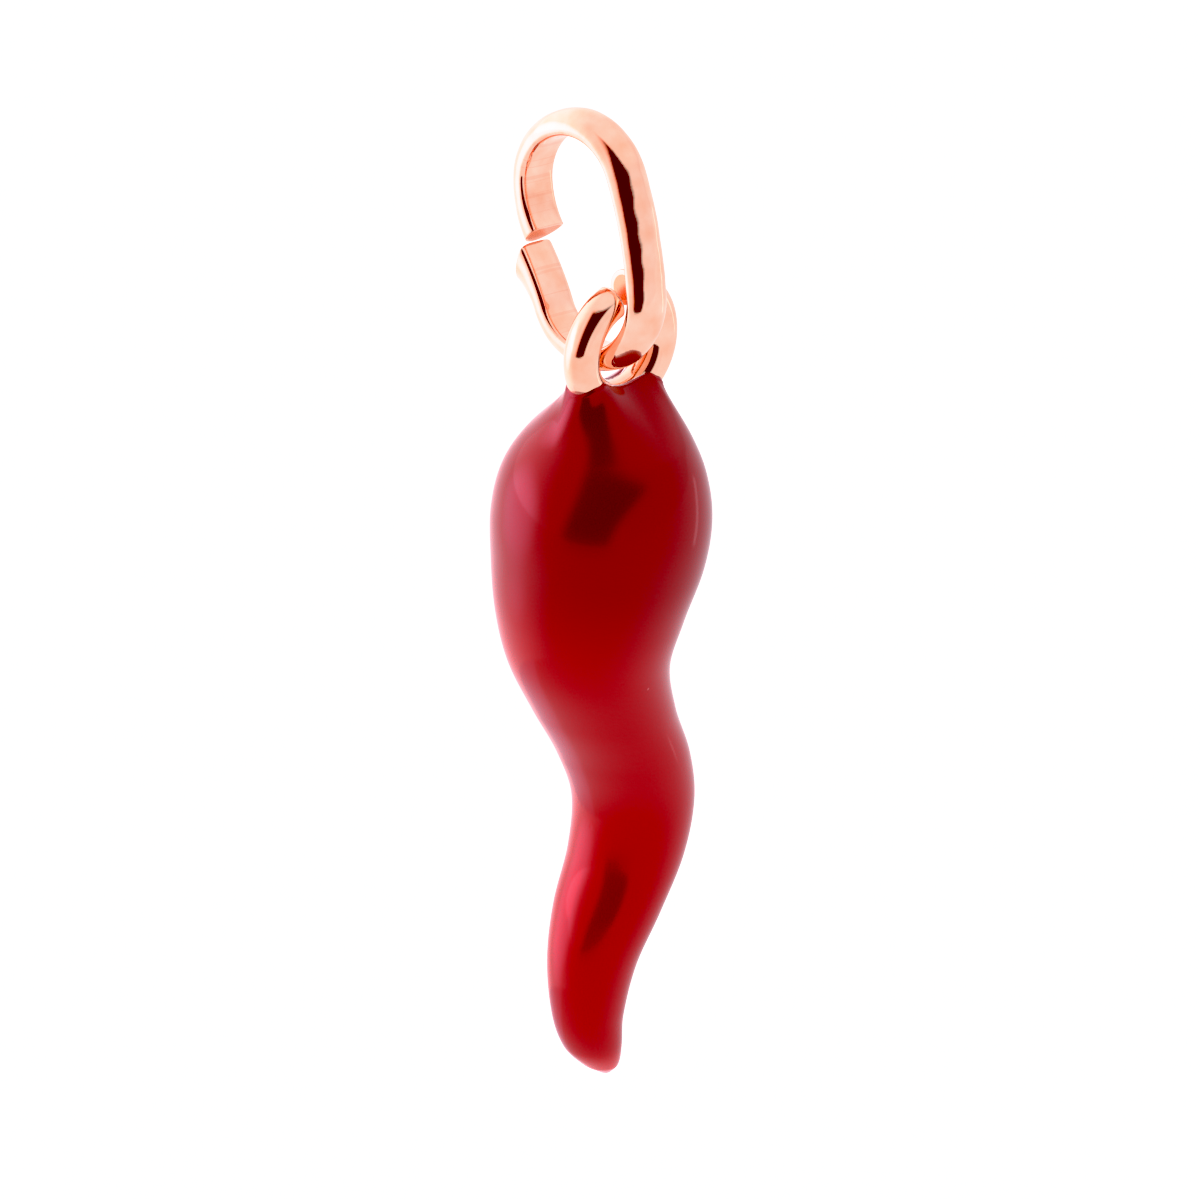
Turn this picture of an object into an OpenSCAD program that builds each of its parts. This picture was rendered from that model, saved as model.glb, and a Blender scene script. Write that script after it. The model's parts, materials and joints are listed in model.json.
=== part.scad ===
// Horn charm: an enamelled cast horn with a soldered eye, on an oval link of half-round wire.
// The origin is the seat of the chain, the middle of the inside of the link's top.
// +Z is up. The eye lies in a plane across X, so the horn swings about an axis along X.

/* [Oval link] */
// Width of the opening
link_open_w = 3.52; // [3.42:0.02:3.8]
// Height of the opening
link_open_h = 6.4; // [6:0.02:7.2]
// Radius of the opening's round ends
link_end_r = 1.64; // [1.55:0.01:1.68]
// Width of the half-round wire, measured through the link
link_wire_w = 1.46; // [1.3:0.02:1.5]
// Thickness of the wire, from its flat inside to its crown
link_wire_t = 0.83; // [0.75:0.01:0.9]
// Height of the wire's straight edges, below its crown
link_wire_edge = 0.14; // [0.08:0.02:0.3]

/* [Cut in the link] */
// Height of the cut above the middle of the link
cut_h = 0.14; // [-0.1:0.02:0.4]
// Slant of the upper end's face, rising towards the opening, in degrees
cut_slant_up = 28; // [20:1:32]
// Slant of the lower end's face, rising towards the opening, in degrees
cut_slant_low = 53; // [35:1:56]
// Gap between the two cut ends, up the link, at the inside of the lower one
cut_gap = 0.05; // [0.03:0.01:0.12]
// How far the upper end is bent in
cut_bend_in = 0.27; // [0.1:0.01:0.3]
// How far the lower end stands out
cut_bend_out = 0.36; // [0.1:0.01:0.4]

/* [Hang of the link] */
// Lean of the link in its own plane, in degrees
link_lean = 22.4; // [20:0.1:24]
// Turn of the link about the upright, in degrees
link_turn = 5.7; // [3:0.1:8]
// Tip of the link out of its own plane, in degrees
link_tip = -6.6; // [-8:0.1:-5]

/* [Eye] */
// Diameter of the hole
eye_hole_d = 2.18; // [2.1:0.02:2.5]
// Diameter of the round wire
eye_wire_d = 1.1; // [0.9:0.02:1.2]
// Angle from the top of the eye to its fixed end, in degrees
eye_seam = 16; // [5:1:25]
// Angle by which the loose end stops short of the top, in degrees
eye_short = 8; // [0:1:12]
// How far the loose end of the eye stands out at the seam
eye_step = 0.32; // [0.1:0.02:0.36]

/* [Seat of the eye on the link] */
// Clearance between the wire's edges and the wall of the hole
seat_gap = 0.18; // [0.16:0.01:0.22]
// How far the eye sits along the wire from the middle of the link's bottom
seat_along = 0.31; // [0.2:0.01:0.34]
// How far the eye sits across the wire
seat_across = 0.24; // [0.1:0.01:0.28]

/* [Horn] */
// Height of the horn from its neck to its tip
horn_h = 23.1; // [19:0.1:28]
// Greatest diameter
horn_d = 6.7; // [6:0.05:8]
// Sideways reach of the S-curve
horn_sway = 1.6; // [0.5:0.05:2]
// Height of the eye's wire that is left bare between the hole and the neck
neck_bare = 0.08; // [0.02:0.01:0.2]
// Thickness of the enamel
enamel_t = 0.3; // [0.2:0.02:0.4]
// Thickness of the enamel at the tip, beyond the end of the core
enamel_tip = 0.5; // [0.4:0.05:1.2]
// Clearance between the enamel and the metal
coat_gap = 0.04; // [0.03:0.01:0.06]

/* [Hidden] */
$fn = 64;
GOLD = "#E8B49A";
ENAMEL = "#A00008";

// Sections of the enamelled horn from the neck to the tip. DROP is a share of horn_h
// below the neck, SWAY of horn_sway along Y, and GIRTH of horn_d.
DROP = 0;
SWAY = 1;
GIRTH = 2;
HORN = [
    [0.000, 0.16, 0.28],
    [0.012, 0.12, 0.36],
    [0.040, 0.02, 0.53],
    [0.070, -0.14, 0.73],
    [0.120, -0.23, 0.92],
    [0.180, -0.24, 1.00],
    [0.245, -0.27, 0.97],
    [0.320, -0.40, 0.86],
    [0.390, -0.36, 0.74],
    [0.465, 0.11, 0.66],
    [0.540, 0.72, 0.61],
    [0.610, 1.06, 0.56],
    [0.685, 0.96, 0.53],
    [0.760, 0.54, 0.49],
    [0.830, 0.22, 0.41],
    [0.905, 0.18, 0.33],
    [0.955, 0.36, 0.27],
    [0.985, 0.60, 0.17],
    [1.000, 0.74, 0.06]
];
coat_rings = 54;
coat_sides = 32;
core_rings = 36;
core_sides = 24;
// Share of an even step by which the rings close up at the neck and the tip
crowding_share = 0.7;

// The inside of the link is an oval of four arcs that meet tangent to each other.
end_h = link_open_h / 2 - link_end_r;
half_w = link_open_w / 2;
side_r = (half_w ^ 2 + end_h ^ 2 - link_end_r ^ 2) / (2 * (half_w - link_end_r));
side_angle = asin(end_h / (side_r - link_end_r));
left_middle = [side_r - half_w, 0];
end_steps = 14;
side_steps = 6;

// Heights of the middles of the two cut ends, and their angles on the left side. The lower
// face is the steeper one, so the gap widens from the inside of the lower end outwards.
slope_up = tan(cut_slant_up);
slope_low = tan(cut_slant_low);
cut_upper_h = cut_h + cut_bend_in * slope_up + cut_gap / 2;
cut_lower_h = cut_h + (link_wire_t / 2 - cut_bend_out) * slope_up
    - link_wire_t / 2 * slope_low - cut_gap / 2;
cut_upper = 180 - asin(cut_upper_h / side_r);
cut_lower = 180 - asin(cut_lower_h / side_r);

// Arcs of the link from the lower cut end round the bottom, up the right side, over the top
// and down to the upper cut end. SPRING is how far the wire stands out from the oval and
// SLANT the slope of its section, each at the arc's start and at its end.
MIDDLE = 0;
RADIUS = 1;
FROM = 2;
TO = 3;
STEPS = 4;
SPRING = 5;
SLANT = 6;
LINK = [
    [left_middle, side_r, cut_lower, 180 + side_angle, side_steps, [cut_bend_out, 0], [slope_low, 0]],
    [[0, -end_h], link_end_r, 180 + side_angle, 360 - side_angle, end_steps, [0, 0], [0, 0]],
    [-left_middle, side_r, -side_angle, side_angle, side_steps, [0, 0], [0, 0]],
    [[0, end_h], link_end_r, side_angle, 180 - side_angle, end_steps, [0, 0], [0, 0]],
    [left_middle, side_r, 180 - side_angle, cut_upper, side_steps, [0, -cut_bend_in], [0, slope_up]]
];

// The crown of the wire is an arc that ends at the tops of the straight edges.
crown_h = link_wire_t - link_wire_edge;
crown_r = (link_wire_w ^ 2 / 4 + crown_h ^ 2) / (2 * crown_h);
crown_angle = atan2(link_wire_w / 2, crown_r - crown_h);
crown_steps = 8;

// Points round the half-round wire: height above its flat, and place across it
WIRE = [
    [0, -link_wire_w / 2],
    for (i = [0:crown_steps])
        let (a = crown_angle * (2 * i / crown_steps - 1))
        [link_wire_t - crown_r + crown_r * cos(a), crown_r * sin(a)],
    [0, link_wire_w / 2]
];

// The link's long axis
link_up = [
    -cos(link_tip) * sin(link_lean) * cos(link_turn) + sin(link_tip) * sin(link_turn),
    -cos(link_tip) * sin(link_lean) * sin(link_turn) - sin(link_tip) * cos(link_turn),
    cos(link_tip) * cos(link_lean)
];

eye_hole_r = eye_hole_d / 2;
eye_wire_r = eye_wire_d / 2;
eye_r = eye_hole_r + eye_wire_r;
// Angle by which the ring of the eye runs on into its loose end, so that the two join
eye_lap = 1.5;

// The eye hangs with the wall of its hole just over both edges of the link's flat. The slope
// of the wire under it takes up some of the height of the hole.
wire_slope = link_lean + asin(seat_along / link_end_r);
wire_rise = seat_along * tan(link_lean) + link_end_r - sqrt(link_end_r ^ 2 - seat_along ^ 2);
seat_drop = sqrt((eye_hole_r - seat_gap) ^ 2 - link_wire_w ^ 2 / 4) - eye_wire_r * tan(wire_slope);
eye_at = -link_open_h * link_up + [seat_along, seat_across, wire_rise - seat_drop];

// The neck ends just under the hole. The core and the space for it start below the neck by
// the thickness of the enamel, and stop short of the tip.
neck_drop = eye_hole_r + neck_bare;
cavity_top = enamel_t / horn_h;
cavity_end = 1 - enamel_tip / horn_h;
core_top = cavity_top + coat_gap / horn_h;
core_end = cavity_end - coat_gap / horn_h;

// Triangles of a closed tube whose point j of ring i has the number i * sides + j.
function tube_faces(rings, sides) = [
    for (i = [0:rings - 2], j = [0:sides - 1])
        let (a = i * sides + j, b = i * sides + (j + 1) % sides)
        each [[a, b, b + sides], [a, b + sides, a + sides]],
    [for (j = [sides - 1:-1:0]) j],
    [for (j = [0:sides - 1]) (rings - 1) * sides + j]
];

// The wire's section on an arc of LINK, at the share u of the arc. The spring grows with the
// square of the way to the cut, and the slant in proportion to it.
function link_ring(arc, u) =
    let (
        angle = arc[FROM] + (arc[TO] - arc[FROM]) * u,
        spring = arc[SPRING][0] * (1 - u) ^ 2 + arc[SPRING][1] * u ^ 2,
        slant = arc[SLANT] * [1 - u, u],
        out = [cos(angle), sin(angle)],
        along = [-sin(angle), cos(angle)]
    )
    [
        for (p = WIRE)
            let (
                r = arc[RADIUS] + spring + p[0],
                q = arc[MIDDLE] + r * out + slant * (p[0] - link_wire_t / 2) * along
            )
            [q[0], q[1], p[1]]
    ];

// The row of HORN whose span holds the share s.
function horn_row(s) = max([0, for (i = [0:len(HORN) - 2]) if (HORN[i][DROP] <= s) i]);

// Slope of one column at a row, from the rows on both sides of it.
function horn_slope(i, col) =
    let (a = max(i - 1, 0), b = min(i + 1, len(HORN) - 1))
    (HORN[b][col] - HORN[a][col]) / (HORN[b][DROP] - HORN[a][DROP]);

// One column at the share s, on the cubic that passes smoothly through all rows.
function horn_value(s, col) =
    let (i = horn_row(s), span = HORN[i + 1][DROP] - HORN[i][DROP], t = (s - HORN[i][DROP]) / span)
    HORN[i][col] * (2 * t ^ 3 - 3 * t ^ 2 + 1)
        + HORN[i + 1][col] * (3 * t ^ 2 - 2 * t ^ 3)
        + span * horn_slope(i, col) * (t ^ 3 - 2 * t ^ 2 + t)
        + span * horn_slope(i + 1, col) * (t ^ 3 - t ^ 2);

// Share of the way to ring i, with the rings closing up at both ends.
function ring_share(i, last) = i / last - crowding_share * sin(360 * i / last) / (2 * PI);

// A level ring of the horn at the share s, drawn in by inset, with the neck's middle as origin.
function horn_ring(s, inset, sides) =
    let (r = horn_value(s, GIRTH) * horn_d / 2 - inset, y = horn_value(s, SWAY) * horn_sway)
    [for (j = [0:sides - 1]) [r * cos(360 * j / sides), y + r * sin(360 * j / sides), -s * horn_h]];

// The horn between two shares of its height, drawn in by inset, with the eye's middle as origin.
module horn_form(from, to, inset, rings, sides) {
    points = [
        for (i = [0:rings - 1])
            each horn_ring(from + (to - from) * ring_share(i, rings - 1), inset, sides)
    ];
    translate([0, 0, -neck_drop]) polyhedron(points, tube_faces(rings, sides));
}

// The half-round wire from one end of the cut to the other, with the link's plane as XY.
module link_wire() {
    points = [
        for (arc = LINK, i = [0:arc[STEPS] - 1]) each link_ring(arc, i / arc[STEPS]),
        each link_ring(LINK[len(LINK) - 1], 1)
    ];
    polyhedron(points, tube_faces(len(points) / len(WIRE), len(WIRE)));
}

module oval_link() {
    color(GOLD)
        rotate([link_tip, -link_lean, link_turn])
            translate([0, 0, -link_open_h / 2])
                rotate([90, 0, 0]) link_wire();
}

// The round wire of the eye, made thicker by grow. The loose end leaves the ring at its
// +Y side on a wider arc, so that it stands out by eye_step at the seam.
module eye_wire(grow) {
    wire_r = eye_wire_r + grow;
    rotate([90, 0, 90]) {
        rotate([0, 0, 90 + eye_seam])
            rotate_extrude(angle = 270 - eye_seam + eye_lap) translate([eye_r, 0]) circle(wire_r);
        translate([-eye_step, 0, 0])
            rotate_extrude(angle = 90 - eye_short)
                translate([eye_r + eye_step, 0]) circle(wire_r);
    }
}

module horn_core() {
    color(GOLD)
        translate(eye_at) {
            eye_wire(0);
            horn_form(core_top, core_end, enamel_t + coat_gap, core_rings, core_sides);
        }
}

module enamel_coat() {
    color(ENAMEL)
        translate(eye_at)
            difference() {
                horn_form(0, 1, 0, coat_rings, coat_sides);
                horn_form(cavity_top, cavity_end, enamel_t, core_rings, core_sides);
                eye_wire(coat_gap);
            }
}

oval_link();
horn_core();
enamel_coat();
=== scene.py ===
import json

import bpy
import numpy as np
from mathutils import Matrix


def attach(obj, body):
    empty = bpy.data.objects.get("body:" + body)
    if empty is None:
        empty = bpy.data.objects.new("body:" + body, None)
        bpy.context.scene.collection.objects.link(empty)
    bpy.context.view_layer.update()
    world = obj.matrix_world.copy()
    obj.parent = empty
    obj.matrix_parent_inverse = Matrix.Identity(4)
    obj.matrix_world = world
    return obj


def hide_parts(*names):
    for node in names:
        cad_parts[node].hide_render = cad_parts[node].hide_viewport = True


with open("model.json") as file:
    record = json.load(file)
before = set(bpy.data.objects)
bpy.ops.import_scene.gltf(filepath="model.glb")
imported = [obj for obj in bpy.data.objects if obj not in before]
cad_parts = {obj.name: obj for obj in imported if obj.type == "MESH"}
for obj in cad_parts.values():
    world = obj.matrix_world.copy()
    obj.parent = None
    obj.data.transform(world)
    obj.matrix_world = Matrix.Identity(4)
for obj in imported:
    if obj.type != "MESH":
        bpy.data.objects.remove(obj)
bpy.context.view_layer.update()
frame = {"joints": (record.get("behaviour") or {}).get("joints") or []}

# Camera
# The pendant is seen from its front right and from above, by a long lens that hardly draws
# perspective. The lens is as long as it is far away, so the frame is as wide at the pendant as on
# the sensor. The photo stands slightly askew, so the camera is rolled.
AZIMUTH = np.radians(44.0)
ELEVATION = np.radians(24.0)
ROLL = np.radians(3.4)
LENS = 1.5
FRAME_WIDTH = 0.036
FRAME_PIXELS = 1200
ORIGIN_PIXEL = (571.7, 134.2)


def camera_axes(azimuth, elevation, roll):
    """Rows are the picture's right, its up and the way back to the camera, turned by the roll."""
    right = np.array([np.cos(azimuth), np.sin(azimuth), 0.0])
    back = np.array(
        [np.sin(azimuth) * np.cos(elevation), -np.cos(azimuth) * np.cos(elevation), np.sin(elevation)]
    )
    up = np.cross(back, right)
    rolled_right = np.cos(roll) * right + np.sin(roll) * up
    rolled_up = np.cos(roll) * up - np.sin(roll) * right
    return np.array([rolled_right, rolled_up, back])


VIEW = camera_axes(AZIMUTH, ELEVATION, ROLL)
pixel = FRAME_WIDTH / FRAME_PIXELS
middle_right = (FRAME_PIXELS / 2 - ORIGIN_PIXEL[0]) * pixel
middle_up = (ORIGIN_PIXEL[1] - FRAME_PIXELS / 2) * pixel
camera_place = middle_right * VIEW[0] + middle_up * VIEW[1] + LENS * VIEW[2]
camera_data = bpy.data.cameras.new("camera")
camera_data.sensor_width = FRAME_WIDTH * 1000
camera_data.lens = LENS * 1000
camera_data.clip_start = 0.01
camera_data.clip_end = 20.0
camera = bpy.data.objects.new("camera", camera_data)
camera.matrix_world = Matrix.Translation(camera_place) @ Matrix(VIEW.T.tolist()).to_4x4()
bpy.context.scene.collection.objects.link(camera)
bpy.context.scene.camera = camera

# Oval link
# A link bent from half-round wire, flat on the inside, polished and plated with rose gold.
# It is sawn through on its left side, and its two ends have sprung apart: one out and one in.
OPEN_W = 3.52e-3
OPEN_H = 6.40e-3
END_R = 1.64e-3
WIRE_W = 1.46e-3
WIRE_T = 0.83e-3
WIRE_EDGE = 0.22e-3
EDGE_ROUNDING = 0.62
CUT_H = 0.14e-3
CUT_GAP = 0.05e-3
SLOPE_UP = np.tan(np.radians(28.0))
SLOPE_LOW = np.tan(np.radians(53.0))
CUT_BEND_IN = 0.27e-3
CUT_BEND_OUT = 0.36e-3
CUT_EDGE_R = 0.035e-3
LEAN = np.radians(22.4)
TURN = np.radians(5.7)
TIP = np.radians(-6.6)
LINK_WAVE = 7.0e-6
LINK_WAVE_INWARD = 2.1
LINK_WAVES = [
    (1.0, 1900, 5200, 0.0),
    (0.7, 4300, -4600, 1.3),
    (0.3, 8700, 6100, 4.0),
]
WIRE_SIDES = 64
LINK_STEP = 0.05e-3
CUT_BENDS = 5
CUT_FACE_RINGS = (0.8, 0.5, 0.2)
CUT_MARK = -1.0


def turn_about(axis, angle):
    """Matrix that turns about X, Y or Z (0, 1 or 2) by an angle, right-handed."""
    c, s = np.cos(angle), np.sin(angle)
    turned = np.eye(3)
    a, b = (axis + 1) % 3, (axis + 2) % 3
    turned[a, a], turned[a, b], turned[b, a], turned[b, b] = c, -s, s, c
    return turned


def tube_faces(rings, sides, turned, ends):
    """Quads between the rings of a tube and, with ends, a face over its first and its last ring.
    A tube whose rings run the other way round is turned, so that its faces look outward."""
    ring = np.arange(rings - 1)[:, None]
    side = np.arange(sides)[None, :]
    beside = (side + 1) % sides
    corners = [
        ring * sides + side,
        ring * sides + beside,
        (ring + 1) * sides + beside,
        (ring + 1) * sides + side,
    ]
    loop = np.arange(sides)
    blocks = [np.stack(corners, -1).reshape(-1, 4)]
    if ends:
        blocks.append(np.stack([loop[::-1], (rings - 1) * sides + loop]))
    return [block[:, ::-1] if turned else block for block in blocks]


def make_piece(name, shells):
    """One smooth object at the origin, from shells of points, blocks of faces and a (u, v) for each
    point."""
    points, faces, places, start = [], [], [], 0
    for shell_points, shell_blocks, shell_places in shells:
        points.append(shell_points.reshape(-1, 3))
        for block in shell_blocks:
            faces += (start + block).tolist()
        places.append(shell_places.reshape(-1, 2))
        start += len(points[-1])
    mesh = bpy.data.meshes.new(name)
    mesh.from_pydata(np.concatenate(points).tolist(), [], faces)
    loops = np.empty(len(mesh.loops), np.int32)
    mesh.loops.foreach_get("vertex_index", loops)
    uv = mesh.uv_layers.new(name="UVMap")
    uv.data.foreach_set("uv", np.concatenate(places)[loops].astype(np.float32).ravel())
    mesh.polygons.foreach_set("use_smooth", np.ones(len(mesh.polygons), bool))
    mesh.validate()
    piece = bpy.data.objects.new(name, mesh)
    bpy.context.scene.collection.objects.link(piece)
    return piece


def half_round(sides):
    """Height above the flat and place across, round the wire: half an ellipse over half a flat
    superellipse, whose power rounds the edges of the flat. They are rounder than the solid's, which
    gives softer reflections."""
    t = np.linspace(0, 2 * np.pi, sides, endpoint=False)
    c, s = np.cos(t), np.sin(t)
    flat = s < 0
    squared = np.sign(c) * np.abs(c) ** EDGE_ROUNDING
    across = np.where(flat, squared, c) * WIRE_W / 2
    dip = np.abs(s) ** EDGE_ROUNDING
    height = np.where(flat, WIRE_EDGE * (1 - dip), WIRE_EDGE + (WIRE_T - WIRE_EDGE) * s)
    return height, across


def oval_path(step):
    """Arcs, tangent to each other, from the lower cut end round the bottom, the right side and the
    top to the upper cut end. Gives each ring's place, way out, spring outwards and slope of section."""
    end_h = OPEN_H / 2 - END_R
    half_w = OPEN_W / 2
    side_r = (half_w**2 + end_h**2 - END_R**2) / (2 * (half_w - END_R))
    side_angle = np.arcsin(end_h / (side_r - END_R))
    high = CUT_H + CUT_BEND_IN * SLOPE_UP + CUT_GAP / 2
    low = CUT_H + (WIRE_T / 2 - CUT_BEND_OUT) * SLOPE_UP - WIRE_T / 2 * SLOPE_LOW - CUT_GAP / 2
    arcs = [
        (side_r - half_w, 0, side_r, np.pi - np.arcsin(low / side_r), np.pi + side_angle),
        (0, -end_h, END_R, np.pi + side_angle, 2 * np.pi - side_angle),
        (half_w - side_r, 0, side_r, -side_angle, side_angle),
        (0, end_h, END_R, side_angle, np.pi - side_angle),
        (side_r - half_w, 0, side_r, np.pi - side_angle, np.pi - np.arcsin(high / side_r)),
    ]
    places, ways, springs, slopes = [], [], [], []
    for k, (x, y, radius, begin, end) in enumerate(arcs):
        count = max(2, int(abs(end - begin) * radius / step))
        share = np.linspace(0, 1, count + 1)[(1 if k else 0):]
        angle = begin + (end - begin) * share
        way = np.stack([np.cos(angle), np.sin(angle)], -1)
        places.append(np.array([x, y]) + radius * way)
        ways.append(way)
        to_low = (1 - share) * (k == 0)
        to_high = share * (k == len(arcs) - 1)
        springs.append(CUT_BEND_OUT * to_low**2 - CUT_BEND_IN * to_high**2)
        slopes.append(SLOPE_LOW * to_low + SLOPE_UP * to_high)
    return [np.concatenate(part) for part in (places, ways, springs, slopes)]


def link_shell():
    """The wire's section carried along the oval. Near the cut it springs out or in with the square of
    the way, is slanted in proportion, and rounds off to its end face. Its round side is lowered by
    three crossing waves. U is the way along in millimetres, and v the share round the wire."""
    height, across = half_round(WIRE_SIDES)
    place, way, spring, slope = oval_path(LINK_STEP)
    length = np.append(0, np.cumsum(np.linalg.norm(np.diff(place, axis=0), axis=1)))
    along = np.stack([-way[:, 1], way[:, 0]], -1)
    waves = [
        size * np.sin(length[:, None] * along_rate + across[None, :] * across_rate + phase)
        for size, along_rate, across_rate, phase in LINK_WAVES
    ]
    wave = LINK_WAVE * (sum(waves) - LINK_WAVE_INWARD)
    out = spring[:, None] + height[None, :] + wave * (height[None, :] > WIRE_EDGE)
    lean = slope[:, None] * (height[None, :] - WIRE_T / 2)
    flat = place[:, None, :] + out[..., None] * way[:, None, :] + lean[..., None] * along[:, None, :]
    rings = np.concatenate([flat, np.broadcast_to(across[None, :, None], flat.shape[:2] + (1,))], -1)

    def rounded_end(ring, inward):
        """Rings from the body to the end face: each is drawn in and moved on along a quarter circle."""
        middle = ring.mean(0)
        reach = np.linalg.norm(ring - middle, axis=1)[:, None]
        bend = np.linspace(0, np.pi / 2, CUT_BENDS + 1)[1:, None, None]
        drawn = (ring - middle) * (1 - CUT_EDGE_R * (1 - np.cos(bend)) / reach) + middle
        rounded = drawn + inward * CUT_EDGE_R * (np.sin(bend) - 1)
        inner = np.array(CUT_FACE_RINGS)[:, None, None]
        return np.concatenate([rounded, (rounded[-1] - middle) * inner + middle])

    first_way = np.append(-along[0], 0.0)
    last_way = np.append(along[-1], 0.0)
    first = rounded_end(rings[0], first_way)[::-1]
    last = rounded_end(rings[-1], last_way)
    rings = np.concatenate([first, rings[1:-1], last])
    end_u = np.append(np.zeros(CUT_BENDS), np.full(len(CUT_FACE_RINGS), CUT_MARK))
    u = np.concatenate([end_u[::-1], length[1:-1] * 1000, end_u])
    v = np.linspace(0, 1, WIRE_SIDES, endpoint=False)
    places = np.stack(np.broadcast_arrays(u[:, None], v[None, :]), -1)
    faces = tube_faces(len(rings), WIRE_SIDES, turned=False, ends=True)
    upright = np.stack([rings[..., 0], -rings[..., 2], rings[..., 1] - OPEN_H / 2], -1)
    hang = turn_about(2, TURN) @ turn_about(1, -LEAN) @ turn_about(0, TIP)
    return upright @ hang.T, faces, places


def linear(hex_colour):
    """An sRGB hex colour as linear red, green, blue and alpha."""
    value = np.array([int(hex_colour[i:i + 2], 16) for i in (1, 3, 5)]) / 255
    value = np.where(value <= 0.04045, value / 12.92, ((value + 0.055) / 1.055) ** 2.4)
    return (*value.tolist(), 1.0)


def add_node(tree, kind, inputs=(), **settings):
    """Adds a node, sets its own settings, and gives each input a value or links it to a socket."""
    node = tree.nodes.new(kind)
    for name, value in settings.items():
        setattr(node, name, value)
    for name, value in dict(inputs).items():
        if isinstance(value, bpy.types.NodeSocket):
            tree.links.new(value, node.inputs[name])
        else:
            node.inputs[name].default_value = value
    return node


def new_material(name):
    """A node material with nothing in it yet, and its node tree."""
    material = bpy.data.materials.new(name)
    material.use_nodes = True
    material.node_tree.nodes.clear()
    return material, material.node_tree


def rose_gold_plate(name, scratch_depth, mark_depth):
    """Rose gold plated over silver and polished: a clean mirror whose tone drifts from pink to
    peach, with faint lines from the polishing thread and a light orange-peel that bends the
    reflections. The flat inside keeps faint marks of the bending tool, and the saw leaves a duller,
    more orange face."""
    material, tree = new_material(name)
    coordinate = add_node(tree, "ShaderNodeTexCoord")
    lines_space = add_node(
        tree, "ShaderNodeMapping", {"Vector": coordinate.outputs["UV"], "Scale": (9.0, 1.5, 1.0)}
    )
    lines = add_node(
        tree, "ShaderNodeTexNoise", {"Vector": lines_space.outputs[0], "Scale": 1.0, "Detail": 4.0}
    )
    peel = add_node(
        tree, "ShaderNodeTexNoise",
        {"Vector": coordinate.outputs["Object"], "Scale": 1500.0, "Detail": 2.0},
    )
    tone = add_node(
        tree, "ShaderNodeMix",
        {
            "Factor": peel.outputs["Fac"],
            "A": linear("#FFDCCB"),
            "B": linear("#F4AE8E"),
        },
        data_type="RGBA",
    )
    bump_peel = add_node(
        tree, "ShaderNodeBump", {"Height": peel.outputs["Fac"], "Strength": 0.04, "Distance": 2e-5}
    )
    bump = add_node(
        tree, "ShaderNodeBump",
        {
            "Height": lines.outputs["Fac"],
            "Strength": scratch_depth,
            "Distance": 1e-5,
            "Normal": bump_peel.outputs[0],
        },
    )
    roughness = add_node(
        tree, "ShaderNodeMapRange",
        {"Value": lines.outputs["Fac"], "To Min": 0.05, "To Max": 0.11},
    )
    place = add_node(tree, "ShaderNodeSeparateXYZ", {"Vector": coordinate.outputs["UV"]})
    wander = add_node(
        tree, "ShaderNodeTexNoise", {"W": place.outputs["X"], "Scale": 1.7, "Detail": 2.0},
        noise_dimensions="1D",
    )
    crossing = add_node(
        tree, "ShaderNodeMath", {0: wander.outputs["Fac"], 1: 0.5, 2: 0.012}, operation="COMPARE"
    )
    flat_side = add_node(
        tree, "ShaderNodeMath", {0: place.outputs["Y"], 1: 0.52}, operation="GREATER_THAN"
    )
    tool_mark = add_node(
        tree, "ShaderNodeMath",
        {0: crossing.outputs[0], 1: flat_side.outputs[0]}, operation="MULTIPLY",
    )
    faint_mark = add_node(
        tree, "ShaderNodeMath", {0: tool_mark.outputs[0], 1: mark_depth}, operation="MULTIPLY"
    )
    marked_tone = add_node(
        tree, "ShaderNodeMix",
        {"Factor": faint_mark.outputs[0], "A": tone.outputs["Result"], "B": linear("#E69A80")},
        data_type="RGBA",
    )
    sawn = add_node(
        tree, "ShaderNodeMapRange", {"Value": place.outputs["X"], "From Min": -0.3, "From Max": -0.6}
    )
    sawn_tone = add_node(
        tree, "ShaderNodeMix",
        {"Factor": sawn.outputs[0], "A": marked_tone.outputs["Result"], "B": linear("#EE9C78")},
        data_type="RGBA",
    )
    sawn_roughness = add_node(
        tree, "ShaderNodeMix",
        {"Factor": sawn.outputs[0], "A": roughness.outputs[0], "B": 0.3}, data_type="FLOAT",
    )
    shader = add_node(
        tree, "ShaderNodeBsdfPrincipled",
        {
            "Base Color": sawn_tone.outputs["Result"],
            "Metallic": 1.0,
            "Roughness": sawn_roughness.outputs["Result"],
            "Normal": bump.outputs[0],
        },
    )
    add_node(tree, "ShaderNodeOutputMaterial", {"Surface": shader.outputs[0]})
    return material


link = make_piece("oval_link_wire", [link_shell()])
link.data.materials.append(rose_gold_plate("rose_gold_plate", scratch_depth=0.15, mark_depth=0.22))
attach(link, "link")
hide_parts("oval_link")

# Horn core and eye
# The horn is cast in silver with its eye of round wire, soldered into the neck, and plated with
# rose gold. The wire's loose end stands out a little at the seam on top of the eye.
EYE_AT = np.array(frame["joints"][0]["pos_m"])
HOLE_D = 2.18e-3
EYE_WIRE_D = 1.10e-3
SEAM = np.radians(16.0)
SHORT = np.radians(8.0)
EYE_STEP = 0.32e-3
EYE_SIDES = 56
EYE_STEPS = 240
SEAM_EDGE_R = 0.06e-3
SEAM_BENDS = 7
SEAM_FACE_RINGS = (0.0, 0.35, 0.7)
EYE_WIRE_MM = 10
HORN_H = 23.1e-3
HORN_D = 6.7e-3
HORN_SWAY = 1.6e-3
NECK_BARE = 0.08e-3
ENAMEL_T = 0.30e-3
ENAMEL_TIP = 0.50e-3
COAT_GAP = 0.04e-3
CORE_SIDES = 64
CORE_RINGS = 120
CORE_CROWDING = 0.7
eye_wire_r = EYE_WIRE_D / 2
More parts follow.
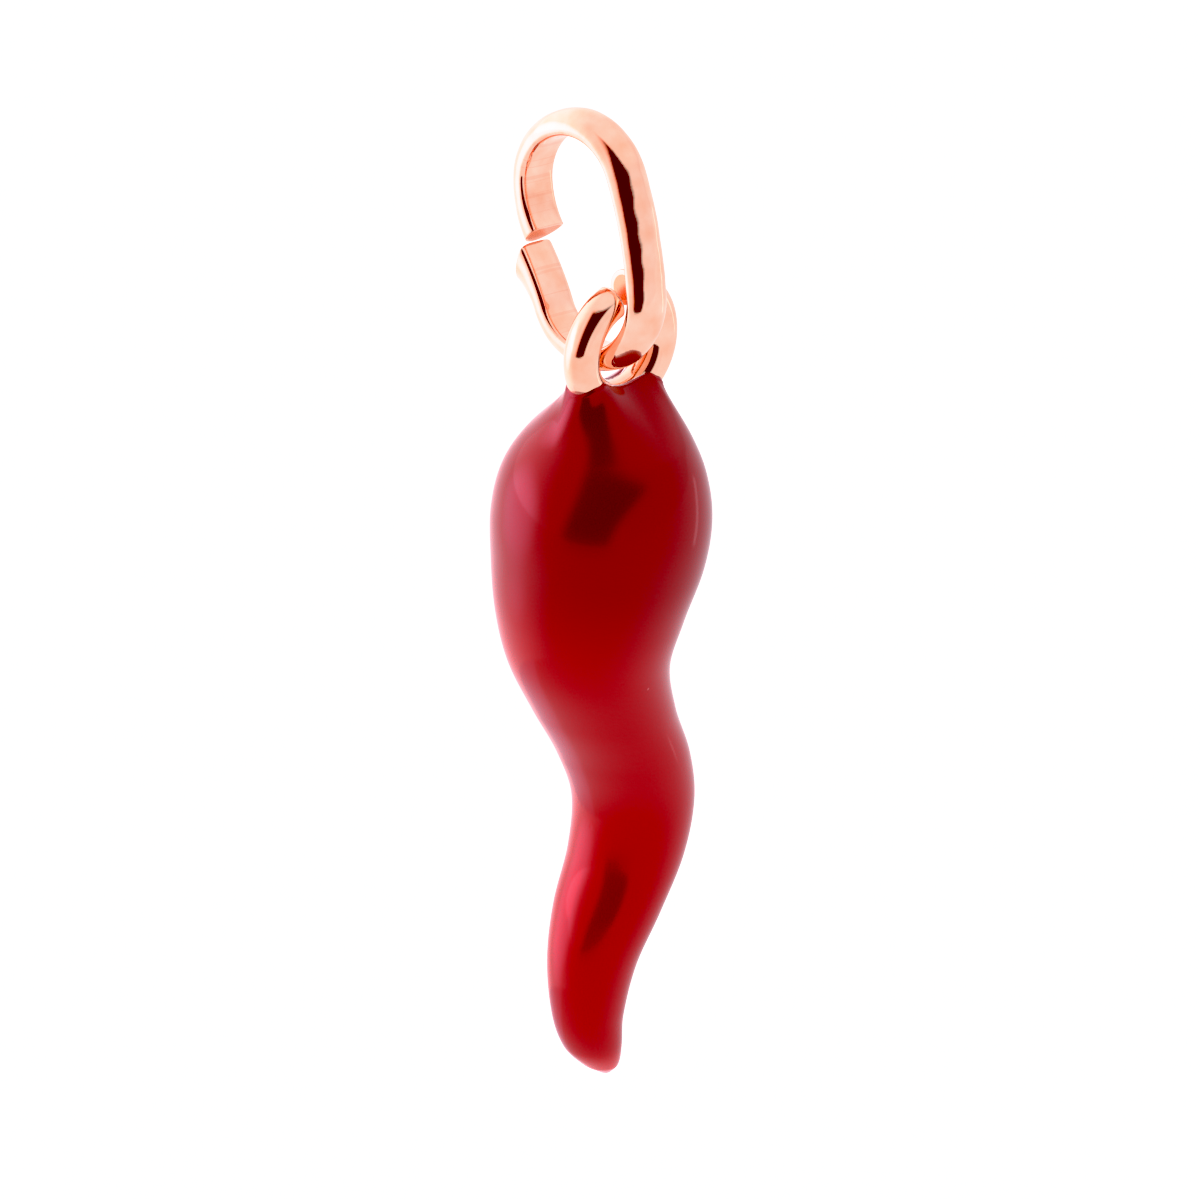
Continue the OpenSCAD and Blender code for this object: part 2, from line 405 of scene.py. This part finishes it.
eye_r = HOLE_D / 2 + eye_wire_r
neck_drop = HOLE_D / 2 + NECK_BARE

# Sections of the enamelled horn from the neck to the tip, as in the solid model: DROP is a share
# of the horn's height below the neck, SWAY of its sway along Y, and GIRTH of its diameter.
DROP, SWAY, GIRTH = 0, 1, 2
HORN = np.array([
    [0.000, 0.16, 0.28],
    [0.012, 0.12, 0.36],
    [0.040, 0.02, 0.53],
    [0.070, -0.14, 0.73],
    [0.120, -0.23, 0.92],
    [0.180, -0.24, 1.00],
    [0.245, -0.27, 0.97],
    [0.320, -0.40, 0.86],
    [0.390, -0.36, 0.74],
    [0.465, 0.11, 0.66],
    [0.540, 0.72, 0.61],
    [0.610, 1.06, 0.56],
    [0.685, 0.96, 0.53],
    [0.760, 0.54, 0.49],
    [0.830, 0.22, 0.41],
    [0.905, 0.18, 0.33],
    [0.955, 0.36, 0.27],
    [0.985, 0.60, 0.17],
    [1.000, 0.74, 0.06],
])


def horn_value(share, column):
    """One column at each share, on the cubic that passes smoothly through all rows."""
    x, y = HORN[:, DROP], HORN[:, column]
    slope = np.empty(len(x))
    slope[1:-1] = (y[2:] - y[:-2]) / (x[2:] - x[:-2])
    slope[0] = (y[1] - y[0]) / (x[1] - x[0])
    slope[-1] = (y[-1] - y[-2]) / (x[-1] - x[-2])
    i = np.clip(np.searchsorted(x, share, side="right") - 1, 0, len(x) - 2)
    span = x[i + 1] - x[i]
    t = (share - x[i]) / span
    return (
        y[i] * (2 * t**3 - 3 * t**2 + 1)
        + y[i + 1] * (3 * t**2 - 2 * t**3)
        + span * slope[i] * (t**3 - 2 * t**2 + t)
        + span * slope[i + 1] * (t**3 - t**2)
    )


def horn_surface(share, angle, inset):
    """Level circles of the horn, from the eye's middle: radius by GIRTH less the inset, middle by SWAY."""
    radius = horn_value(share, GIRTH) * HORN_D / 2 - inset
    middle = horn_value(share, SWAY) * HORN_SWAY
    depth = -neck_drop - share * HORN_H
    return np.stack(
        np.broadcast_arrays(radius * np.cos(angle), middle + radius * np.sin(angle), depth), -1
    )


def eye_shell():
    """A round section carried round the eye: the ring from the seam by the bottom to its +Y side, and
    then the loose end on a wider arc. Both ends round off to a flat face, whose rings shrink to its
    middle."""
    full_turn = 2 * np.pi - SEAM - SHORT
    ring_share = (1.5 * np.pi - SEAM) / full_turn
    share = np.linspace(0, 1, EYE_STEPS)
    angle = np.pi / 2 + SEAM + share * full_turn
    loose = share > ring_share
    path_r = np.where(loose, eye_r + EYE_STEP, eye_r)
    shift = np.where(loose, -EYE_STEP, 0.0)
    way = np.stack([np.zeros_like(angle), np.cos(angle), np.sin(angle)], -1)
    path = path_r[:, None] * way + np.stack([0 * shift, shift, 0 * shift], -1)
    along = np.stack([np.zeros_like(angle), -np.sin(angle), np.cos(angle)], -1)
    side = np.array([1.0, 0.0, 0.0])
    round_angle = np.linspace(0, 2 * np.pi, EYE_SIDES, endpoint=False)
    bend = np.linspace(0, np.pi / 2, SEAM_BENDS)
    face_rings = len(SEAM_FACE_RINGS)
    end_rings = face_rings + SEAM_BENDS
    drawn = np.concatenate([
        SEAM_FACE_RINGS,
        1 - SEAM_EDGE_R / eye_wire_r * (1 - np.sin(bend)),
        np.ones(EYE_STEPS - 2),
        1 - SEAM_EDGE_R / eye_wire_r * (1 - np.cos(bend)),
        SEAM_FACE_RINGS[::-1],
    ])
    ahead = np.concatenate([
        np.zeros(face_rings),
        SEAM_EDGE_R * (1 - np.cos(bend)),
        np.zeros(EYE_STEPS - 2),
        SEAM_EDGE_R * (np.sin(bend) - 1),
        np.zeros(face_rings),
    ])
    index = np.concatenate([
        np.zeros(end_rings, int), np.arange(1, EYE_STEPS - 1), np.full(end_rings, EYE_STEPS - 1)
    ])
    radial = np.cos(round_angle)[None, :, None] * way[index][:, None, :]
    radial = radial + np.sin(round_angle)[None, :, None] * side
    centre = path[index] + ahead[:, None] * along[index]
    points = centre[:, None, :] + eye_wire_r * drawn[:, None, None] * radial
    u = share[index] * EYE_WIRE_MM
    u[:face_rings] = CUT_MARK
    u[-face_rings:] = CUT_MARK
    places = np.stack(np.broadcast_arrays(u[:, None], np.linspace(0, 1, EYE_SIDES)[None, :]), -1)
    return points + EYE_AT, tube_faces(len(points), EYE_SIDES, turned=True, ends=False), places


def core_shell():
    """The cast core: the horn's surface drawn in under the enamel, closed at both ends. A sine crowds
    its rings at the two ends, where the form turns fastest."""
    top = (ENAMEL_T + COAT_GAP) / HORN_H
    end = 1 - (ENAMEL_TIP + COAT_GAP) / HORN_H
    step = np.linspace(0, 1, CORE_RINGS)
    share = top + (end - top) * (step - CORE_CROWDING * np.sin(2 * np.pi * step) / (2 * np.pi))
    angle = np.linspace(0, 2 * np.pi, CORE_SIDES, endpoint=False)
    points = horn_surface(share[:, None], angle[None, :], ENAMEL_T + COAT_GAP)
    places = np.stack(np.broadcast_arrays(share[:, None], angle[None, :]), -1)
    return points + EYE_AT, tube_faces(CORE_RINGS, CORE_SIDES, turned=True, ends=True), places


core = make_piece("horn_core_and_eye", [eye_shell(), core_shell()])
core.data.materials.append(rose_gold_plate("rose_gold_eye", scratch_depth=0.1, mark_depth=0.0))
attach(core, "horn")
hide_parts("horn_core")

# Enamel
# The core is coated all over with enamel and fired: a thick, glassy, deep red coat that thins to
# a film with a low bead where it stops on the foot of the eye, and has no metal in it at its tip.
BARE_FRONT = np.radians(150.0)
BARE_BACK = np.radians(150.0)
COVER_LEFT = np.radians(64.0)
COVER_RIGHT = np.radians(49.0)
EDGE_SQUARENESS = 0.45
TURN_WAVES = [(3, 0.02, 0.4), (7, 0.012, 1.9), (13, 0.008, 4.0)]
AROUND_WAVES = [(4, 0.05, 1.0), (9, 0.03, 2.2)]
FILM = 0.06e-3
FILM_BLEND = 0.05e-3
FILM_RISE = 0.12
LIP_SINK = 0.02e-3
BEAD_REACH = 0.75e-3
BEAD_INWARD = 0.75
BEAD_OUTWARD = 0.65
JOIN_SHARE = 0.075
JOIN_PULL = 0.9
NECK_MIDDLE = np.array([0.0, 0.2e-3, 0.0])
INSIDE_RISE = 0.3
INSIDE_CLEAR = 0.01e-3
TINY = 1e-9
SKIN = 3e-6
ENAMEL_SIDES = 176
LOFT_RINGS = 40
LOFT_CROWDING = 1.3
LIP_SKIPPED = 3
ENAMEL_RINGS = 230
TIP_CROWDING = 0.98
TIP_FACE_RINGS = (0.6, 0.25)
CAVITY_RINGS = 70


def ring_distance(points):
    """Distance to the eye's wire, and the way straight off it, for points from the eye's middle."""
    flat = np.hypot(points[..., 1], points[..., 2])
    off = np.stack([
        points[..., 0],
        points[..., 1] * (1 - eye_r / flat),
        points[..., 2] * (1 - eye_r / flat),
    ], -1)
    length = np.linalg.norm(off, axis=-1)
    return length - eye_wire_r, off / np.maximum(length, TINY)[..., None]


def lift_off_ring(points, film, blend):
    """Points nearer to the wire than the film are lifted, with a smooth maximum of width blend."""
    distance, way = ring_distance(points)
    raised = (distance + film + np.sqrt((distance - film) ** 2 + blend**2)) / 2
    return points + (raised - distance)[..., None] * way


def wire_surface(turn, around):
    """Points of the eye's wire: turn runs round the eye from +Y, and around from its outside to +X."""
    reach = eye_r + eye_wire_r * np.cos(around)
    return np.stack([eye_wire_r * np.sin(around), reach * np.cos(turn), reach * np.sin(turn)], -1)


def wave_of(angle, parts):
    """A sum of sines: each part has its count round the loop, its size and its phase."""
    return sum(size * np.sin(count * angle + phase) for count, size, phase in parts)


def enamel_edge(angle):
    """Turn and around of the line on the wire where the enamel stops: a squared-off loop that is
    longer to the left, with the small waves of a run edge."""
    c, s = np.cos(angle), np.sin(angle)
    cover = np.where(s > 0, COVER_RIGHT, COVER_LEFT)
    turn = 1.5 * np.pi + cover * np.sign(s) * np.abs(s) ** EDGE_SQUARENESS
    bare = np.where(c > 0, BARE_FRONT, BARE_BACK)
    around = bare * np.sign(c) * np.abs(c) ** EDGE_SQUARENESS
    return turn + wave_of(angle, TURN_WAVES), around + wave_of(angle, AROUND_WAVES)


def enamel_shell():
    """From the lip on the wire, a cubic leaves at the bead's angle and joins the horn's level
    circles, and is lifted off the wire to the film's thickness. The inside starts at the end of the
    cavity, runs up under the neck and meets the lip, which is sunk a little into the metal. The
    outside is drawn in by SKIN, so that it stays within the solid's facets."""
    angle = np.linspace(0, 2 * np.pi, ENAMEL_SIDES, endpoint=False)
    turn, around = enamel_edge(angle)
    lip = wire_surface(turn, around)
    nudge = 0.05
    near = wire_surface(turn + nudge * (1.5 * np.pi - turn), around * (1 - nudge))
    _, off = ring_distance(lip)
    inward = near - lip
    inward /= np.linalg.norm(inward, axis=-1, keepdims=True)
    leave = (BEAD_INWARD * inward + BEAD_OUTWARD * off) * BEAD_REACH
    join = horn_surface(np.array(JOIN_SHARE), angle, SKIN)
    small = 1e-3
    onward = horn_surface(np.array(JOIN_SHARE + small), angle, SKIN) - join
    arrive = onward / small * JOIN_SHARE * JOIN_PULL
    t = np.linspace(0, 1, LOFT_RINGS)[:, None, None] ** LOFT_CROWDING
    loft = (
        lip * (2 * t**3 - 3 * t**2 + 1)
        + join * (3 * t**2 - 2 * t**3)
        + leave * (t**3 - 2 * t**2 + t)
        + arrive * (t**3 - t**2)
    )
    rise = np.clip(t[..., 0] / FILM_RISE, 0, 1)
    rise = rise * rise * (3 - 2 * rise)
    outer_loft = lift_off_ring(loft, (FILM + LIP_SINK) * rise - LIP_SINK, FILM_BLEND * rise + TINY)
    step = np.linspace(0, 1, ENAMEL_RINGS)[1:]
    share = JOIN_SHARE + (1 - JOIN_SHARE) * np.sin(step * np.pi / 2) ** TIP_CROWDING
    body = horn_surface(share[:, None], angle[None, :], SKIN)
    tip = horn_surface(np.array([1.0])[:, None], angle[None, :], SKIN)
    tip_middle = tip.mean(1, keepdims=True)
    tip_face = np.concatenate([tip_middle + (tip - tip_middle) * part for part in TIP_FACE_RINGS])
    inset = ENAMEL_T * np.clip(t / INSIDE_RISE, 0, 1)
    radial = (loft - NECK_MIDDLE) * np.array([1.0, 1.0, 0.0])
    radial /= np.linalg.norm(radial, axis=-1, keepdims=True)
    inner_loft = lift_off_ring(loft - inset * radial, INSIDE_CLEAR, TINY)
    cavity_share = np.linspace(JOIN_SHARE, 1 - ENAMEL_TIP / HORN_H, CAVITY_RINGS)[1:]
    cavity = horn_surface(cavity_share[:, None], angle[None, :], ENAMEL_T)
    sunk = lip - LIP_SINK * off
    rings = np.concatenate([
        cavity[::-1], inner_loft[:LIP_SKIPPED:-1], sunk[None], outer_loft[1:], body, tip_face
    ])
    faces = tube_faces(len(rings), ENAMEL_SIDES, turned=True, ends=True)
    row = np.linspace(0, 1, len(rings))
    places = np.stack(np.broadcast_arrays(row[:, None], angle[None, :]), -1)
    return rings + EYE_AT, faces, places


def red_enamel(name):
    """Glassy deep red enamel. Light comes back red through the glass, scattered in it and mirrored
    softly by the metal under it, and white off its surface at a slant. The red is darker on the belly
    and lighter on the lower horn, by height: painted shade and painted light. The tip, which has no
    metal in it, is a brighter red, painted light shining through its glass. A soft unevenness, a few
    pinholes and specks of dust stay from the firing."""
    material, tree = new_material(name)
    coordinate = add_node(tree, "ShaderNodeTexCoord")
    flow = add_node(
        tree, "ShaderNodeTexNoise",
        {"Vector": coordinate.outputs["Object"], "Scale": 260.0, "Detail": 1.0},
    )
    height = add_node(tree, "ShaderNodeSeparateXYZ", {"Vector": coordinate.outputs["Object"]})
    # Painted shade and light by height: darker red on the belly, lighter on the lower horn.
    painted_light_below = add_node(
        tree, "ShaderNodeMapRange",
        {"Value": height.outputs["Z"], "From Min": -0.0122, "From Max": -0.0160},
        interpolation_type="SMOOTHSTEP",
    )
    painted_shade_tone = add_node(
        tree, "ShaderNodeMix", {"Factor": painted_light_below.outputs[0], "A": linear("#740002"), "B": linear("#900003")},
        data_type="RGBA",
    )
    # Painted light: the tip, solid glass with no metal in it, is a brighter red, as if lit through.
    end = add_node(
        tree, "ShaderNodeMapRange",
        {"Value": height.outputs["Z"], "From Min": -0.0288, "From Max": -0.0301},
        interpolation_type="SMOOTHSTEP",
    )
    tip_painted_glow = add_node(
        tree, "ShaderNodeMix",
        {"Factor": end.outputs[0], "A": painted_shade_tone.outputs["Result"], "B": linear("#C80004")},
        data_type="RGBA",
    )
    cloud = add_node(
        tree, "ShaderNodeMapRange", {"Value": flow.outputs["Fac"], "To Min": 0.93, "To Max": 1.07}
    )
    tone = add_node(
        tree, "ShaderNodeVectorMath",
        {0: tip_painted_glow.outputs["Result"], "Scale": cloud.outputs[0]}, operation="SCALE",
    )
    # The metal's red mirror takes the same painted shade, darker on the belly.
    metal = add_node(
        tree, "ShaderNodeMix", {"Factor": painted_light_below.outputs[0], "A": linear("#6C0000"), "B": linear("#780000")},
        data_type="RGBA",
    )
    pin = add_node(
        tree, "ShaderNodeTexVoronoi",
        {"Vector": coordinate.outputs["Object"], "Scale": 900.0},
    )
    pinhole = add_node(
        tree, "ShaderNodeMapRange",
        {"Value": pin.outputs["Distance"], "From Min": 0.03, "From Max": 0.07},
        clamp=True,
    )
    flow_bump = add_node(
        tree, "ShaderNodeBump", {"Height": flow.outputs["Fac"], "Strength": 0.05, "Distance": 1e-4}
    )
    bump = add_node(
        tree, "ShaderNodeBump",
        {
            "Height": pinhole.outputs[0],
            "Strength": 0.3,
            "Distance": 1e-5,
            "Normal": flow_bump.outputs[0],
        },
    )
    speck = add_node(
        tree, "ShaderNodeTexVoronoi", {"Vector": coordinate.outputs["Object"], "Scale": 420.0}
    )
    dust = add_node(
        tree, "ShaderNodeMapRange",
        {"Value": speck.outputs["Distance"], "From Min": 0.035, "From Max": 0.02, "To Max": 0.7},
    )
    dusty = add_node(
        tree, "ShaderNodeMix",
        {"Factor": dust.outputs[0], "A": tone.outputs["Vector"], "B": linear("#F0A8B0")},
        data_type="RGBA",
    )
    glass = add_node(
        tree, "ShaderNodeBsdfDiffuse", {"Color": dusty.outputs["Result"]}
    )
    mirror = add_node(
        tree, "ShaderNodeBsdfAnisotropic", {"Color": metal.outputs["Result"], "Roughness": 0.21}
    )
    body = add_node(tree, "ShaderNodeAddShader", {0: glass.outputs[0], 1: mirror.outputs[0]})
    gloss = add_node(
        tree, "ShaderNodeBsdfAnisotropic",
        {"Color": linear("#FFF4FF"), "Roughness": 0.08, "Normal": bump.outputs[0]},
    )
    slant = add_node(tree, "ShaderNodeFresnel", {"IOR": 1.5, "Normal": bump.outputs[0]})
    coat = add_node(
        tree, "ShaderNodeMixShader", {0: slant.outputs[0], 1: body.outputs[0], 2: gloss.outputs[0]}
    )
    add_node(tree, "ShaderNodeOutputMaterial", {"Surface": coat.outputs[0]})
    return material


enamel = make_piece("enamel_coat_red", [enamel_shell()])
enamel.data.materials.append(red_enamel("red_enamel_glass"))
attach(enamel, "horn")
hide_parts("enamel_coat")

# Light tent
# The pendant hangs in a white light tent over a pale floor. The tent is open round the camera,
# which shows as a dark patch in the polish, with a faint red glow and a warm edge. A bluish lamp
# shines in from the left, with a wider pink glow behind it.
FLOOR_DROP = 0.045
FLOOR_R = 0.030
FLOOR_SIDES = 96
HORIZON = np.array([0.0, 1.0, 0.70])
WALLS = 1.04
SHEET = 1.00
CAMERA_WHITE = 1.7
RED_GLOW = 0.11
EDGE_GLOW = 1.6
# Strength of the lamp's light painted on the floor in emission.
PAINTED_POOL = 0.30
LAMP_LINE = 0.010
LAMP_LINE_BLUR = 0.002
LAMP_COLOUR = linear("#BFD0FF")
GLOW_COLOUR = linear("#FFDFE8")

# Sides of the opening: how much of the picture's up is taken off the picture's right, or right is
# added to up, and how far along that direction the side begins and ends.
OPEN_LEFT = (0.35, -0.70, -0.38)
OPEN_RIGHT = (0.75, 0.52, 0.34)
OPEN_TOP = (0.40, 0.58, 0.44)

# Lights and dimmed walls: the strength, the direction in degrees to the right and up from the
# camera's own, and the angles within which it is full and past which it is gone. Below the horizon
# the lights are weaker, and on one side only.
LAMP = 1.60
LAMP_AT = (-98, 3)
LAMP_CONE = (5, 32)
GLOW = 0.90
GLOW_AT = (-125, 8)
GLOW_CONE = (10, 75)
BACK_DIM = 0.10
BACK_DIM_AT = (140, 0)
BACK_DIM_CONE = (22, 45)
RIGHT_DIM = 0.10
LOW_LAMP = 0.66
LOW_LAMP_SIDE = (-150, 0)
POOL_SIDE = (-147, 0)

# A bright upright strip on the right, at a right angle to STRIP_NORMAL: its edges across and
# along, each from none to full.
STRIP = 0.55
STRIP_NORMAL = (30, 0)
STRIP_SIDES = ((-0.045, -0.035), (0.045, 0.035))
STRIP_ENDS = ((-0.27, -0.22), (0.22, 0.17))


def towards(azimuth, elevation):
    """A direction given by its angles from the camera's own axis, right and up."""
    a, e = np.radians(azimuth), np.radians(elevation)
    return np.array([np.sin(a) * np.cos(e), np.sin(e), np.cos(a) * np.cos(e)]) @ VIEW


floor_angle = np.linspace(0, 2 * np.pi, FLOOR_SIDES, endpoint=False)
floor_x = FLOOR_R * np.cos(floor_angle)
floor_y = FLOOR_R * np.sin(floor_angle)
floor_points = np.stack([floor_x, floor_y, np.full(FLOOR_SIDES, -FLOOR_DROP)], -1)
floor_mesh = bpy.data.meshes.new("floor")
floor_mesh.from_pydata(floor_points.tolist(), [], [list(range(FLOOR_SIDES))])
floor = bpy.data.objects.new("floor", floor_mesh)
bpy.context.scene.collection.objects.link(floor)


def pale_floor():
    """White acrylic, lit through from below like a light table, and pure white to the camera. On the
    lamp's side, past a line under the pendant, a patch of the lamp's light is painted on it in
    emission, and left out round the pendant's foot as a painted shadow."""
    material, tree = new_material("pale_acrylic_floor")
    place = add_node(tree, "ShaderNodeTexCoord").outputs["Object"]
    lamp_way = towards(*POOL_SIDE) * np.array([1.0, 1.0, 0.0])
    beside = add_node(
        tree, "ShaderNodeVectorMath", {0: place, 1: lamp_way.tolist()}, operation="DOT_PRODUCT"
    )
    side = add_node(
        tree, "ShaderNodeMapRange",
        {
            "Value": beside.outputs["Value"],
            "From Min": LAMP_LINE - LAMP_LINE_BLUR,
            "From Max": LAMP_LINE + LAMP_LINE_BLUR,
        },
        interpolation_type="SMOOTHSTEP", clamp=True,
    )
    flat = add_node(
        tree, "ShaderNodeVectorMath", {0: place, 1: (1.0, 1.0, 0.0)}, operation="MULTIPLY"
    )
    reach = add_node(
        tree, "ShaderNodeVectorMath", {0: flat.outputs["Vector"]}, operation="LENGTH"
    )
    # Painted shadow: the painted lamp light fades out round the pendant's foot.
    past_painted_shadow = add_node(
        tree, "ShaderNodeMapRange",
        {"Value": reach.outputs["Value"], "From Min": 0.004, "From Max": 0.018},
        interpolation_type="SMOOTHSTEP", clamp=True,
    )
    # The lamp's light painted on the floor, on the lamp's side and away from the foot.
    pool = add_node(
        tree, "ShaderNodeMath", {0: side.outputs[0], 1: past_painted_shadow.outputs[0]}, operation="MULTIPLY"
    )
    pool_light = add_node(
        tree, "ShaderNodeMath", {0: pool.outputs[0], 1: PAINTED_POOL}, operation="MULTIPLY"
    )
    ray = add_node(tree, "ShaderNodeLightPath")
    seen = add_node(
        tree, "ShaderNodeMix",
        {"Factor": ray.outputs["Is Camera Ray"], "A": SHEET, "B": CAMERA_WHITE},
        data_type="FLOAT",
    )
    sheet = add_node(
        tree, "ShaderNodeEmission", {"Color": linear("#FFFFFF"), "Strength": seen.outputs["Result"]}
    )
    lit = add_node(
        tree, "ShaderNodeEmission", {"Color": LAMP_COLOUR, "Strength": pool_light.outputs[0]}
    )
    shader = add_node(tree, "ShaderNodeAddShader", {0: sheet.outputs[0], 1: lit.outputs[0]})
    add_node(tree, "ShaderNodeOutputMaterial", {"Surface": shader.outputs[0]})
    return material


floor.data.materials.append(pale_floor())
world = bpy.data.worlds.new("light_tent")
world.use_nodes = True
bpy.context.scene.world = world
sky = world.node_tree
sky.nodes.clear()
sky_place = add_node(sky, "ShaderNodeTexCoord")


def combine(first, second, operation):
    """One value from two, by a plain operation."""
    return add_node(sky, "ShaderNodeMath", {0: first, 1: second}, operation=operation).outputs[0]


def part_along(axis):
    """How far the direction of the ray goes along an axis."""
    unit = axis / np.linalg.norm(axis)
    return add_node(
        sky, "ShaderNodeVectorMath", {0: sky_place.outputs["Generated"], 1: unit.tolist()},
        operation="DOT_PRODUCT",
    ).outputs["Value"]


def step_up(value, begin, end):
    """0 before begin, 1 past end, and smooth in between; it falls where end is below begin."""
    return add_node(
        sky, "ShaderNodeMapRange", {"Value": value, "From Min": begin, "From Max": end},
        interpolation_type="SMOOTHSTEP", clamp=True,
    ).outputs[0]


def cone(axis, full, none):
    """1 within the angle full of an axis, in degrees, and 0 past the angle none."""
    return step_up(part_along(axis), np.cos(np.radians(none)), np.cos(np.radians(full)))


def both(first, second):
    """Where both of two masks are, or a mask times its light."""
    return combine(first, second, "MULTIPLY")


def between(value, rise, fall):
    """1 between two smooth edges, each given from where the mask is 0 to where it is 1."""
    return both(step_up(value, *rise), step_up(value, *fall))


above = step_up(part_along(HORIZON @ VIEW), -0.01, 0.01)
below = combine(1.0, above, "SUBTRACT")
to_right, to_top, to_back = (part_along(axis) for axis in VIEW)
opening = both(
    step_up(part_along(VIEW[0] - OPEN_LEFT[0] * VIEW[1]), *OPEN_LEFT[1:]),
    step_up(part_along(VIEW[0] - OPEN_RIGHT[0] * VIEW[1]), *OPEN_RIGHT[1:]),
)
in_front = step_up(to_back, 0.0, 0.15)
under_top = step_up(part_along(VIEW[1] + OPEN_TOP[0] * VIEW[0]), *OPEN_TOP[1:])
opening = both(opening, both(under_top, in_front))
closed = combine(1.0, opening, "SUBTRACT")
dim_right = both(both(step_up(to_right, 0.30, 0.55), step_up(to_top, 0.55, 0.28)), RIGHT_DIM)
strip_across = part_along(towards(*STRIP_NORMAL))
strip = both(between(strip_across, *STRIP_SIDES), between(to_top, *STRIP_ENDS))
strip = both(both(strip, step_up(to_right, 0.5, 0.6)), STRIP)
dim_back = both(cone(towards(*BACK_DIM_AT), *BACK_DIM_CONE), BACK_DIM)
dim = combine(dim_right, dim_back, "ADD")
walls = both(combine(WALLS, dim, "SUBTRACT"), closed)
tent = combine(combine(both(walls, above), both(SHEET, below), "ADD"), strip, "ADD")
glow = both(cone(towards(*GLOW_AT), *GLOW_CONE), GLOW)
lamp = both(cone(towards(*LAMP_AT), *LAMP_CONE), LAMP)
lamp_side = step_up(part_along(towards(*LOW_LAMP_SIDE)), -0.02, 0.02)
lamp_reach = combine(above, both(both(below, lamp_side), LOW_LAMP), "ADD")
path = add_node(sky, "ShaderNodeLightPath")
seen = add_node(
    sky, "ShaderNodeMix", {"Factor": path.outputs["Is Camera Ray"], "A": tent, "B": CAMERA_WHITE},
    data_type="FLOAT",
)
white = add_node(
    sky, "ShaderNodeBackground", {"Color": linear("#FFFFFF"), "Strength": seen.outputs["Result"]}
)
blue_lamp = add_node(
    sky, "ShaderNodeBackground", {"Color": LAMP_COLOUR, "Strength": both(lamp, lamp_reach)}
)
pink_glow = add_node(
    sky, "ShaderNodeBackground", {"Color": GLOW_COLOUR, "Strength": both(glow, lamp_reach)}
)
tinted = add_node(sky, "ShaderNodeAddShader", {0: blue_lamp.outputs[0], 1: pink_glow.outputs[0]})
red_glow = add_node(
    sky, "ShaderNodeBackground",
    {"Color": linear("#FF3030"), "Strength": both(both(opening, above), RED_GLOW)},
)
edge = both(both(opening, closed), both(step_up(to_right, 0.0, -0.2), above))
warm_edge = add_node(
    sky, "ShaderNodeBackground", {"Color": linear("#FF8040"), "Strength": both(edge, EDGE_GLOW)}
)
warm = add_node(sky, "ShaderNodeAddShader", {0: red_glow.outputs[0], 1: warm_edge.outputs[0]})
lamp_light = add_node(sky, "ShaderNodeAddShader", {0: tinted.outputs[0], 1: warm.outputs[0]})
sum_of_light = add_node(sky, "ShaderNodeAddShader", {0: white.outputs[0], 1: lamp_light.outputs[0]})
add_node(sky, "ShaderNodeOutputWorld", {"Surface": sum_of_light.outputs[0]})

# Print of the photo
# Shop pictures of jewellery are printed with a hard black point: the weak white sheen over the
# enamel goes to nothing, and the red stays clean. The brightest gold is held back from white.
# Each curve's points are the light that comes in and the light that is printed.
BLACK_POINT = 0.045
WHITE_POINT = 1.60
view = bpy.context.scene.view_settings
view.view_transform = "Standard"
view.use_curve_mapping = True
print_curve = view.curve_mapping
print_curve.black_level = (BLACK_POINT, BLACK_POINT, BLACK_POINT)
print_curve.white_level = (WHITE_POINT, WHITE_POINT, WHITE_POINT)
FAINT = ((0.20, 0.162), (0.40, 0.372), (0.60, 0.581))
RED_PRINT = FAINT + ((0.72, 0.72), (0.86, 0.95), (1.0, 0.985), (1.2, 0.995))
GREEN_BLUE_PRINT = FAINT + ((0.75, 0.735), (1.0, 0.90), (1.25, 0.965))
for channel, print_points in enumerate((RED_PRINT, GREEN_BLUE_PRINT, GREEN_BLUE_PRINT)):
    for light_in, light_out in print_points:
        share_in = (light_in - BLACK_POINT) / (WHITE_POINT - BLACK_POINT)
        print_curve.curves[channel].points.new(share_in, light_out)
print_curve.update()
